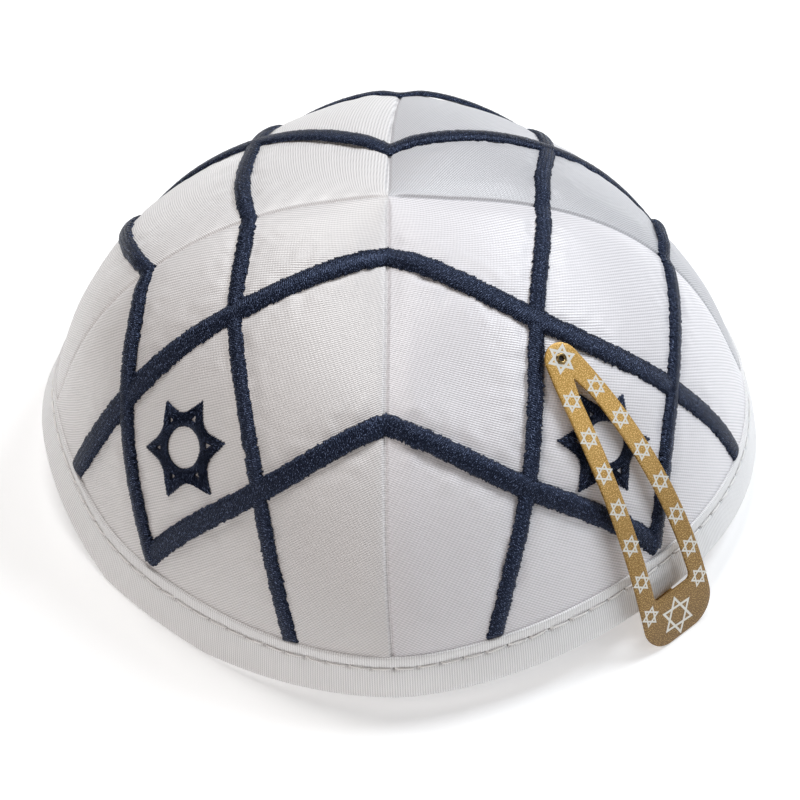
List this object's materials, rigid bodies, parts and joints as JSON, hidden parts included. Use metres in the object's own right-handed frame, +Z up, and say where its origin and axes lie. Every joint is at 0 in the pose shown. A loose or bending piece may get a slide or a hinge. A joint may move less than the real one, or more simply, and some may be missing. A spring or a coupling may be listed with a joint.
{
  "type": "kippah skullcap with snap clip",
  "caption": "White satin skullcap with panels meeting at the top, navy stitched lattice and stars, bound rim and a gold snap clip on the rim.",
  "frame": {"origin": "on the table under the middle of the cap, at the bottom centre of its box", "axes": "+Z up, the front seam faces -Y, the right seam faces +X"},
  "size_m": [0.1449, 0.1532, 0.061],
  "materials": {
    "satin": "white satin, fine diagonal weave, soft sheen",
    "binding": "white satin bias tape, folded and top-stitched",
    "embroidery": "navy satin stitch, raised, slight thread sheen",
    "clip_gold": "mustard gold lacquered sheet steel, fine speckle, pale star outlines",
    "eyelet_brass": "rolled brass, satin"
  },
  "bodies": {
    "root": {"panel_front_right": "satin", "panel_front_left": "satin", "panel_back_right": "satin", "panel_back_left": "satin", "embroidery_front_right": "embroidery", "embroidery_front_left": "embroidery", "embroidery_back_right": "embroidery", "embroidery_back_left": "embroidery", "star_front_right": "embroidery", "star_front_left": "embroidery", "star_back_right": "embroidery", "star_back_left": "embroidery", "rim_binding": "binding", "snap_clip": "clip_gold", "clip_eyelet": "eyelet_brass"}
  },
  "joints": []
}
